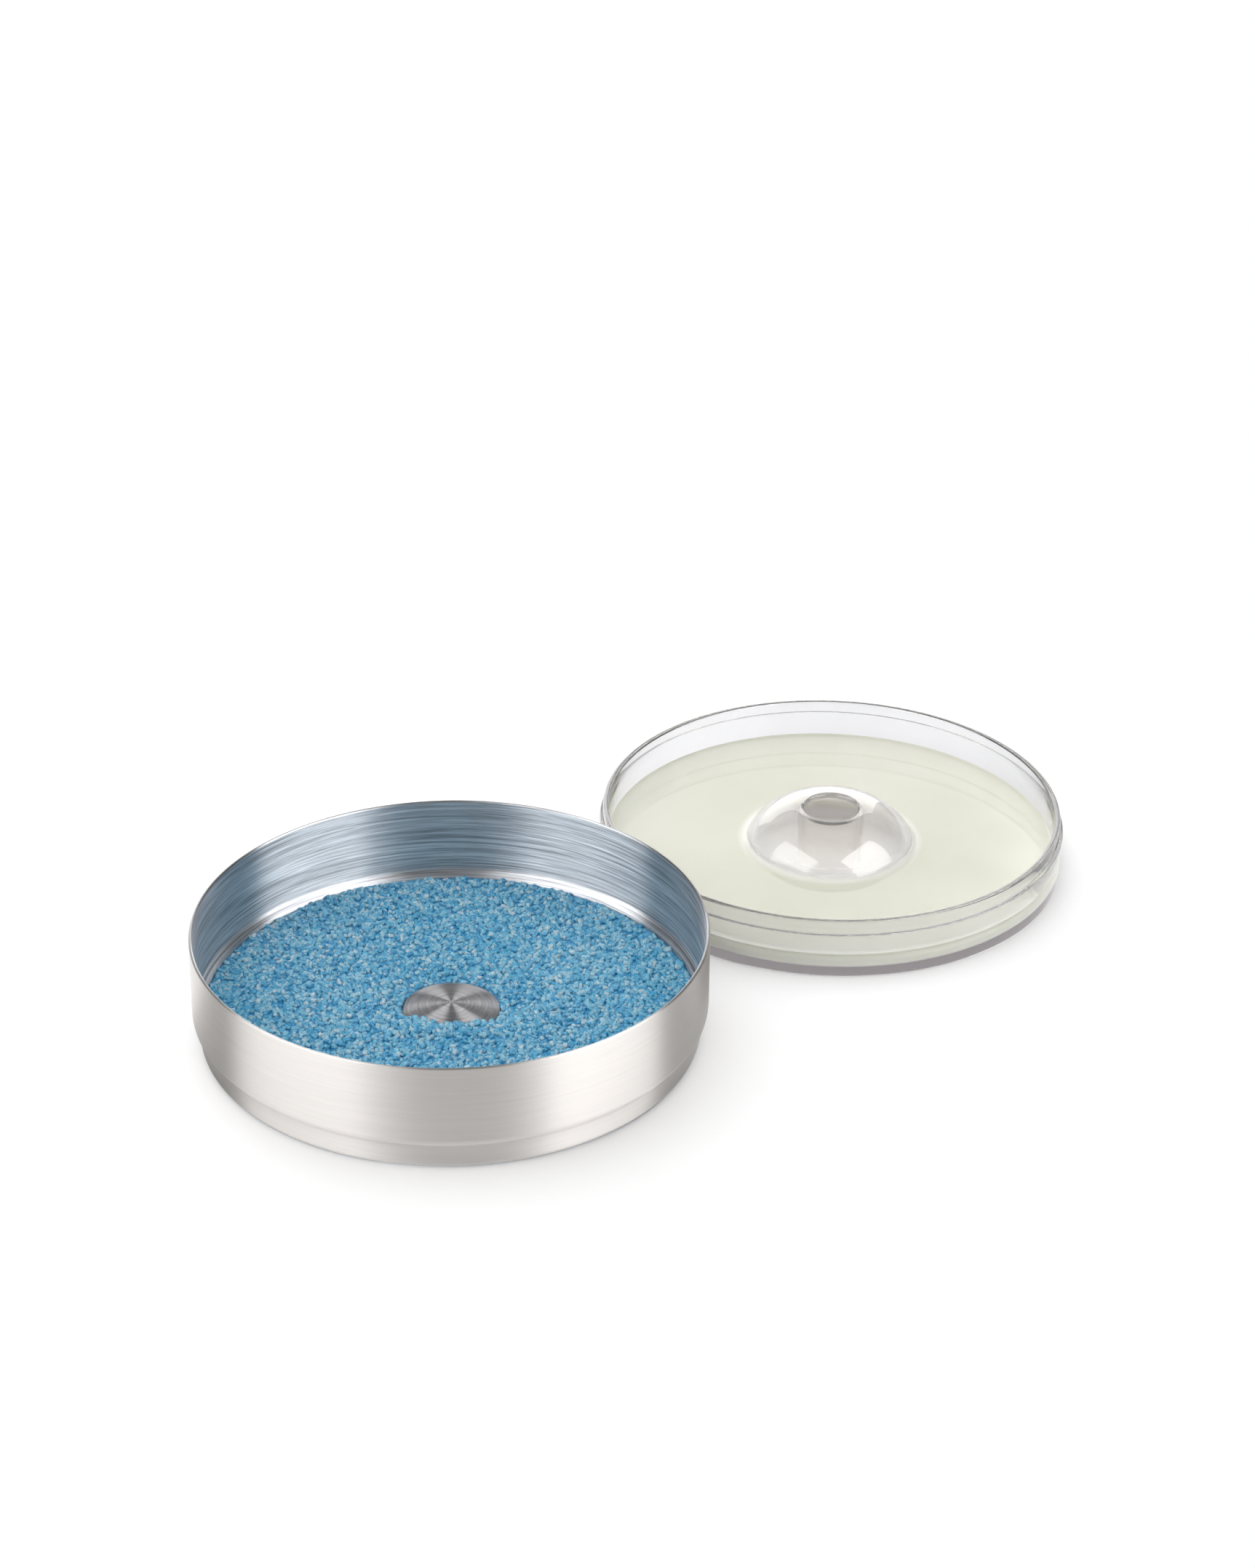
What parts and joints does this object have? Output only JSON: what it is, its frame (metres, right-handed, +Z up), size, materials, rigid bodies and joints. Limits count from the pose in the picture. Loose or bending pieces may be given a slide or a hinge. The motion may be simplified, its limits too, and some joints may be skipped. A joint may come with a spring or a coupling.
{
  "type": "cocktail glass rimmer",
  "caption": "Rimmer for drinking glasses: a brushed steel dish of coarse sugar round a spun cap, and beside it a clear dish of juice round a hollow dome with a tube.",
  "frame": {"origin": "centre of the steel dish's flat base, on the table", "axes": "+Z up from the table, +Y away from the viewer; the clear dish stands towards +X and +Y of the steel one"},
  "size_m": [0.253, 0.2456, 0.033],
  "materials": {
    "brushed_steel": "satin",
    "spun_steel": "satin",
    "sugar": "matte",
    "clear_plastic": "gloss",
    "juice": "gloss"
  },
  "bodies": {
    "sugar_dish": {"steel_dish": "brushed_steel", "centre_cap": "spun_steel", "sugar_bed": "sugar"},
    "juice_dish": {"clear_dish": "clear_plastic", "lime_juice": "juice"}
  },
  "joints": [
    {"name": "clear_dish_lift", "type": "slide", "parent": "sugar_dish", "child": "juice_dish", "axis": [0, 0, 1], "range_m": [0, 0.06]}
  ]
}
